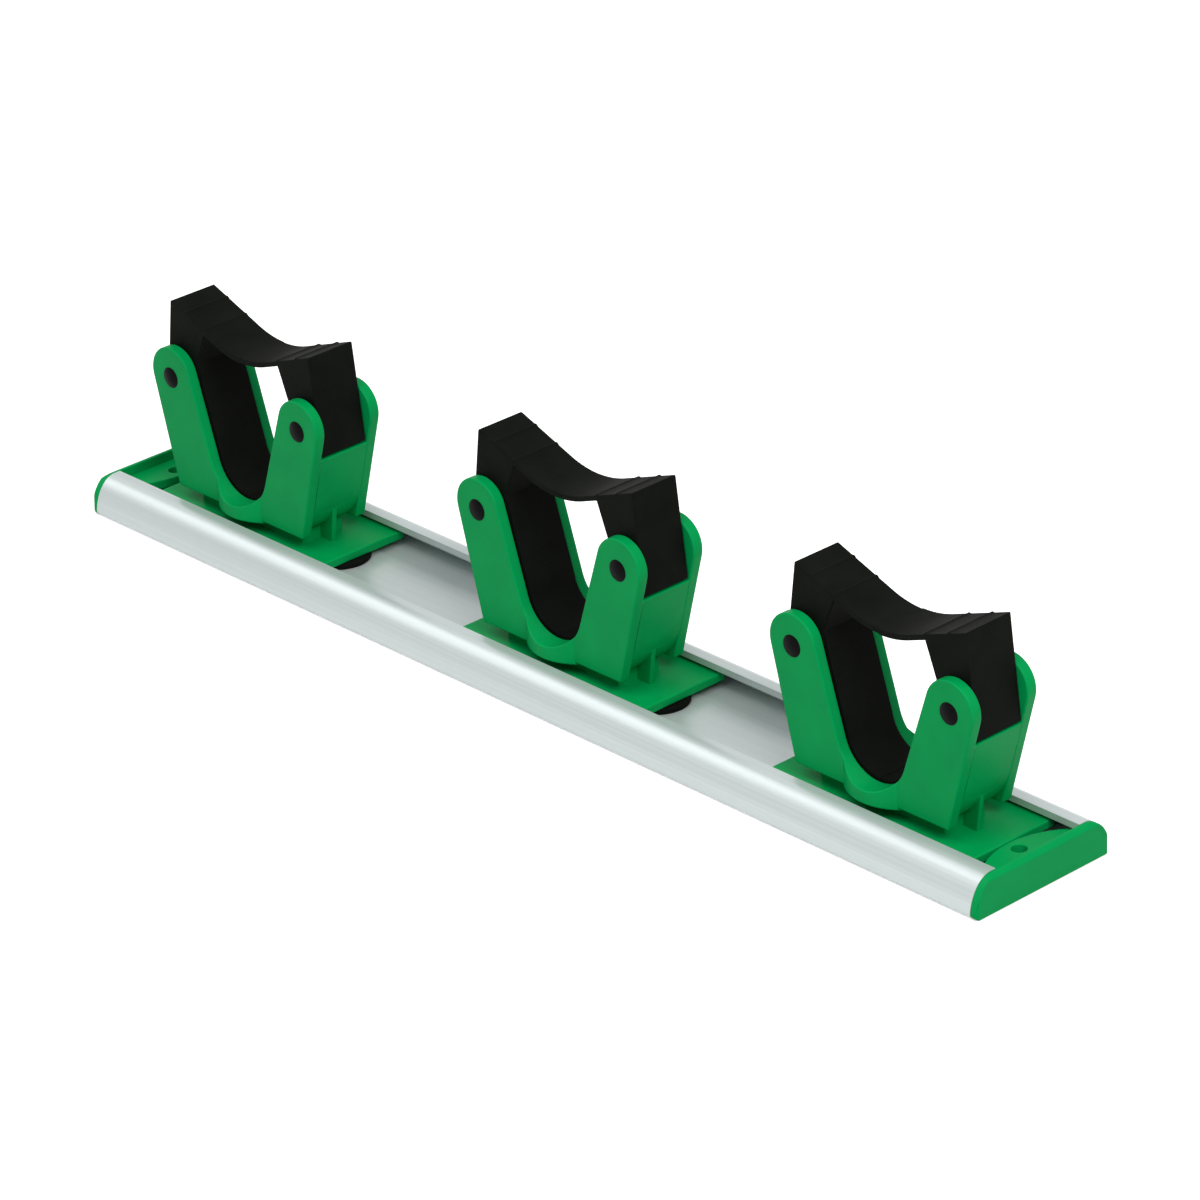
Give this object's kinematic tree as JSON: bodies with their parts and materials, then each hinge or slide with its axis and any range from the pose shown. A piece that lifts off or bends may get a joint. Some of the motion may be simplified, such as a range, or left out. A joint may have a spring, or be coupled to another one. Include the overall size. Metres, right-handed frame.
{
  "type": "wall mop holder rack",
  "caption": "Wall rack for mops and brooms: sliding snap grips with rubber cheeks on an aluminium rail with plastic end caps.",
  "frame": {"origin": "centre of the wall face of the rail", "axes": "+X along the rail, +Z away from the wall, and Y along a tool handle, so the row shows the rack lying on its back; on a wall -Z faces the wall and +Y points up"},
  "size_m": [0.35, 0.0498, 0.068],
  "materials": {
    "aluminium": "extruded, silver anodised, satin",
    "green_plastic": "injection moulded, semi-gloss",
    "rubber": "moulded, matte",
    "black_nylon": "moulded, dull"
  },
  "bodies": {
    "rail": {"rail_floor": "aluminium", "rail_wall_front": "aluminium", "rail_wall_back": "aluminium", "rail_lip_front": "aluminium", "rail_lip_back": "aluminium", "end_cap_left": "green_plastic", "end_cap_right": "green_plastic"},
    "grip_left": {"body_left": "green_plastic", "pad_left": "rubber", "pin_left_a": "black_nylon", "pin_left_b": "black_nylon", "leg_left_a": "rubber", "leg_left_b": "rubber"},
    "cheek_left_a": {"cheek_left_a": "rubber"},
    "web_left_a": {"web_left_a": "rubber"},
    "cheek_left_b": {"cheek_left_b": "rubber"},
    "web_left_b": {"web_left_b": "rubber"},
    "grip_middle": {"body_middle": "green_plastic", "pad_middle": "rubber", "pin_middle_a": "black_nylon", "pin_middle_b": "black_nylon", "leg_middle_a": "rubber", "leg_middle_b": "rubber"},
    "cheek_middle_a": {"cheek_middle_a": "rubber"},
    "web_middle_a": {"web_middle_a": "rubber"},
    "cheek_middle_b": {"cheek_middle_b": "rubber"},
    "web_middle_b": {"web_middle_b": "rubber"},
    "grip_right": {"body_right": "green_plastic", "pad_right": "rubber", "pin_right_a": "black_nylon", "pin_right_b": "black_nylon", "leg_right_a": "rubber", "leg_right_b": "rubber"},
    "cheek_right_a": {"cheek_right_a": "rubber"},
    "web_right_a": {"web_right_a": "rubber"},
    "cheek_right_b": {"cheek_right_b": "rubber"},
    "web_right_b": {"web_right_b": "rubber"}
  },
  "joints": [
    {"name": "left_grip_slide", "type": "slide", "parent": "rail", "child": "grip_left", "axis": [1, 0, 0], "range_m": [-0.0033, 0.0265]},
    {"name": "left_cheek_a_turn", "type": "hinge", "parent": "grip_left", "child": "cheek_left_a", "pos_m": [-0.1505, 0, 0.046], "axis": [0, 1, 0], "range_deg": [0, 40], "stiffness_Nm_per_rad": 0.2},
    {"name": "left_web_a_bend", "type": "hinge", "parent": "cheek_left_a", "child": "web_left_a", "pos_m": [-0.1354, 0, 0.0515], "axis": [0, 1, 0], "range_deg": [-40, 0], "deforming": ["web_left_a"]},
    {"name": "left_cheek_b_turn", "type": "hinge", "parent": "grip_left", "child": "cheek_left_b", "pos_m": [-0.0955, 0, 0.046], "axis": [0, 1, 0], "range_deg": [-40, 0], "stiffness_Nm_per_rad": 0.2},
    {"name": "left_web_b_bend", "type": "hinge", "parent": "cheek_left_b", "child": "web_left_b", "pos_m": [-0.1106, 0, 0.0515], "axis": [0, 1, 0], "range_deg": [0, 40], "deforming": ["web_left_b"]},
    {"name": "middle_grip_slide", "type": "slide", "parent": "rail", "child": "grip_middle", "axis": [1, 0, 0], "range_m": [-0.0265, 0.0215]},
    {"name": "middle_cheek_a_turn", "type": "hinge", "parent": "grip_middle", "child": "cheek_middle_a", "pos_m": [-0.021, 0, 0.046], "axis": [0, 1, 0], "range_deg": [0, 40], "stiffness_Nm_per_rad": 0.2},
    {"name": "middle_web_a_bend", "type": "hinge", "parent": "cheek_middle_a", "child": "web_middle_a", "pos_m": [-0.0059, 0, 0.0515], "axis": [0, 1, 0], "range_deg": [-40, 0], "deforming": ["web_middle_a"]},
    {"name": "middle_cheek_b_turn", "type": "hinge", "parent": "grip_middle", "child": "cheek_middle_b", "pos_m": [0.034, 0, 0.046], "axis": [0, 1, 0], "range_deg": [-40, 0], "stiffness_Nm_per_rad": 0.2},
    {"name": "middle_web_b_bend", "type": "hinge", "parent": "cheek_middle_b", "child": "web_middle_b", "pos_m": [0.0189, 0, 0.0515], "axis": [0, 1, 0], "range_deg": [0, 40], "deforming": ["web_middle_b"]},
    {"name": "right_grip_slide", "type": "slide", "parent": "rail", "child": "grip_right", "axis": [1, 0, 0], "range_m": [-0.0215, 0.0004]},
    {"name": "right_cheek_a_turn", "type": "hinge", "parent": "grip_right", "child": "cheek_right_a", "pos_m": [0.0985, 0, 0.046], "axis": [0, 1, 0], "range_deg": [0, 40], "stiffness_Nm_per_rad": 0.2},
    {"name": "right_web_a_bend", "type": "hinge", "parent": "cheek_right_a", "child": "web_right_a", "pos_m": [0.1136, 0, 0.0515], "axis": [0, 1, 0], "range_deg": [-40, 0], "deforming": ["web_right_a"]},
    {"name": "right_cheek_b_turn", "type": "hinge", "parent": "grip_right", "child": "cheek_right_b", "pos_m": [0.1535, 0, 0.046], "axis": [0, 1, 0], "range_deg": [-40, 0], "stiffness_Nm_per_rad": 0.2},
    {"name": "right_web_b_bend", "type": "hinge", "parent": "cheek_right_b", "child": "web_right_b", "pos_m": [0.1384, 0, 0.0515], "axis": [0, 1, 0], "range_deg": [0, 40], "deforming": ["web_right_b"]}
  ],
  "couplings": [
    {"joint": "left_cheek_b_turn", "follows": "left_cheek_a_turn", "ratio": -1},
    {"joint": "left_web_a_bend", "follows": "left_cheek_a_turn", "ratio": -1},
    {"joint": "left_web_b_bend", "follows": "left_cheek_a_turn", "ratio": 1},
    {"joint": "middle_cheek_b_turn", "follows": "middle_cheek_a_turn", "ratio": -1},
    {"joint": "middle_web_a_bend", "follows": "middle_cheek_a_turn", "ratio": -1},
    {"joint": "middle_web_b_bend", "follows": "middle_cheek_a_turn", "ratio": 1},
    {"joint": "right_cheek_b_turn", "follows": "right_cheek_a_turn", "ratio": -1},
    {"joint": "right_web_a_bend", "follows": "right_cheek_a_turn", "ratio": -1},
    {"joint": "right_web_b_bend", "follows": "right_cheek_a_turn", "ratio": 1}
  ]
}
